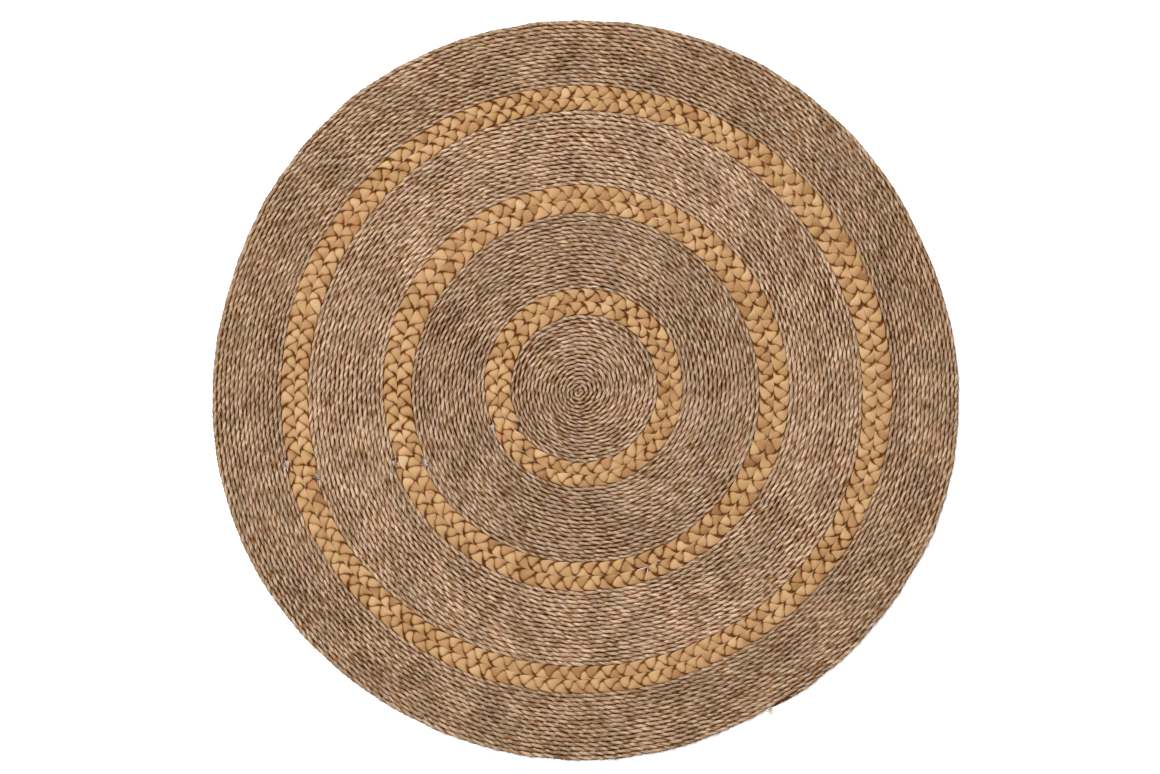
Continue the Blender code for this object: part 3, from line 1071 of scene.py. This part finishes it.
# Fibres nearer to the middle than this turn no more than they would here, in millimetres.
BEND_RADIUS = 12.0
# Fibres at the rim start this many millimetres inside it.
RIM_COUNT, RIM_LENGTHS, RIM_SLANTS, RIM_STARTS = 130, (4, 9), (5, 45), (0.5, 3.0)
# A tuft fans out by an angle in radians, from starts about a millimetre apart.
TUFT_COUNT, TUFT_LENGTHS, TUFT_FAN, TUFT_START = 12, (4, 13), 0.38, 0.9 * MM
TUFT_THICKER = 1.8
# How thick fibres are, how far they bend aside, and how high their tips and middles lie, in
# millimetres.
FIBRE_THICK, FIBRE_ASIDE, FIBRE_LOW, FIBRE_HIGH = (0.25, 0.6), 1.3, 4.3, (5.2, 6.3)
DARK_FIBRE, PALE_FIBRE = (0.34, 0.20, 0.11), (0.78, 0.60, 0.43)
FIBRE_TONE_RATE, FIBRE_TONE_STEP = 900.0, (0.35, 0.65)
FIBRE_SEED, RIM_SEED, TUFT_SEED, STRAND_SEED = 5, 8, 6, 7


def loose_fibres():
    rng = np.random.default_rng(FIBRE_SEED)
    radius = RADII[-1] * np.sqrt(rng.uniform(0, FIBRE_AREA, FIBRE_COUNT))
    angle = rng.uniform(0, 360, FIBRE_COUNT)
    slant = np.radians(rng.normal(0, FIBRE_SLANT, FIBRE_COUNT))
    length = rng.uniform(*FIBRE_LENGTHS, FIBRE_COUNT)
    starts = rug_point(radius, angle)
    turned = np.degrees(length * np.cos(slant) / np.maximum(radius, BEND_RADIUS))
    ends = rug_point(np.abs(radius + length * np.sin(slant)), angle + turned)
    inside = np.linalg.norm(ends, axis=1) < FIBRE_REACH
    return starts[inside], ends[inside]


def rim_fibres():
    rng = np.random.default_rng(RIM_SEED)
    radius = RADII[-1] - rng.uniform(*RIM_STARTS, RIM_COUNT)
    angle = rng.uniform(0, 360, RIM_COUNT)
    slant = np.radians(rng.uniform(*RIM_SLANTS, RIM_COUNT))
    length = rng.uniform(*RIM_LENGTHS, RIM_COUNT)
    turned = np.degrees(length * np.cos(slant) / radius)
    return rug_point(radius, angle), rug_point(radius + length * np.sin(slant), angle + turned)


def tuft(rng, coil, at_end):
    """A fan of fibres at one end of a coil's cord."""
    line = cord_line(coil)
    place, back = (line.place[-1], line.place[-4]) if at_end else (line.place[0], line.place[3])
    heading = math.atan2(*(place - back)[::-1])
    spread = heading + rng.normal(0, TUFT_FAN, TUFT_COUNT)
    length = rng.uniform(*TUFT_LENGTHS, TUFT_COUNT) * MM
    starts = place + rng.normal(0, TUFT_START, (TUFT_COUNT, 2))
    return starts, starts + np.stack([np.cos(spread), np.sin(spread)], axis=-1) * length[:, None]


def fibre_finish(name, dark, pale):
    """Each fibre has one tone, from its number in the second part of its straight place."""
    finish = Finish(name)
    numbers = finish.axis(finish.attribute("straight"), 1)
    tone = finish.noise(finish.point(numbers * FIBRE_TONE_RATE, 0.0, 0.0), detail=0.0)
    colour = finish.mix(finish.step(tone, *FIBRE_TONE_STEP), dark, pale)
    return finish.done({"Base Color": colour, "Roughness": 0.7, "Specular IOR Level": 0.3})


tuft_rng = np.random.default_rng(TUFT_SEED)
fans = [loose_fibres(), rim_fibres()]
for name, coil in COILS.items():
    fans.append(tuft(tuft_rng, coil, True))
    if coil.inner != "middle":
        fans.append(tuft(tuft_rng, coil, False))
starts, ends = (np.concatenate(part) for part in zip(*fans))
fibre_rng = np.random.default_rng(STRAND_SEED)
count = len(starts)
in_tuft = np.arange(count) >= count - TUFT_COUNT * (len(fans) - 2)
fibres = lay_fibres(
    "loose_fibres", starts, ends,
    thick=fibre_rng.uniform(*FIBRE_THICK, count) * np.where(in_tuft, TUFT_THICKER, 1.0) * MM,
    aside=fibre_rng.normal(0, FIBRE_ASIDE, count) * MM,
    low=np.full(count, FIBRE_LOW * MM),
    high=fibre_rng.uniform(*FIBRE_HIGH, count) * MM,
)
fibres.data.materials.append(fibre_finish("frayed grass", DARK_FIBRE, PALE_FIBRE))
print(count, "fibres")

# %% [markdown]
# ## Stitching thread
#
# A pale thread stitches the rows together from below. It comes up here and there, mostly beside the
# braids, as a short stitch. The ones that show in the photo are placed by their two ends.

# %% Stitching thread
# The same measures as the fibres', in millimetres, and two tones.
THREAD_THICK, THREAD_ASIDE, THREAD_LOW, THREAD_HIGH = 1.1, 0.7, 4.0, 6.3
DARK_THREAD, PALE_THREAD = (0.90, 0.82, 0.76), (0.97, 0.95, 0.91)
# Both ends of a stitch, in millimetres.
Stitch = namedtuple("Stitch", "x y to_x to_y")
STITCHES = (
    Stitch(7.8, 140.2, 20.6, 139.5),
    Stitch(29.0, 138.1, 38.4, 134.8),
    Stitch(93.4, 231.7, 109.4, 226.8),
    Stitch(-126.0, 224.7, -120.6, 227.5),
    Stitch(70.3, -241.9, 85.6, -236.9),
    Stitch(85.6, -236.9, 83.8, -249.1),
    Stitch(-97.4, -50.0, -86.1, -61.2),
    Stitch(-5.0, 227.0, 3.0, 228.0),
    Stitch(-171.0, 210.0, -163.0, 214.5),
    Stitch(230.0, 125.0, 235.0, 118.0),
)
stitch_ends = np.array(STITCHES) * MM
count = len(STITCHES)
stitches = lay_fibres(
    "stitching_thread", stitch_ends[:, :2], stitch_ends[:, 2:],
    thick=np.full(count, THREAD_THICK * MM),
    aside=fibre_rng.normal(0, THREAD_ASIDE, count) * MM,
    low=np.full(count, THREAD_LOW * MM),
    high=np.full(count, THREAD_HIGH * MM),
)
stitches.data.materials.append(fibre_finish("pale thread", DARK_THREAD, PALE_THREAD))
print(count, "stitches")

# %% [markdown]
# ## Hand over
#
# Each strand piece stands for its solid, which is hidden, and rides on the rug's one body, and so do
# the loose fibres and the thread. The sheet that each strand piece makes once it is sewn, a round for
# the middle, a long band for each ring and three strips side by side for each braid, is worked out
# with it but not used here.

# %% Hand over
for node, (piece, slot, size) in made.items():
    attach(piece, "root")
    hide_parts(node)

for extra in (fibres, stitches):
    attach(extra, "root")
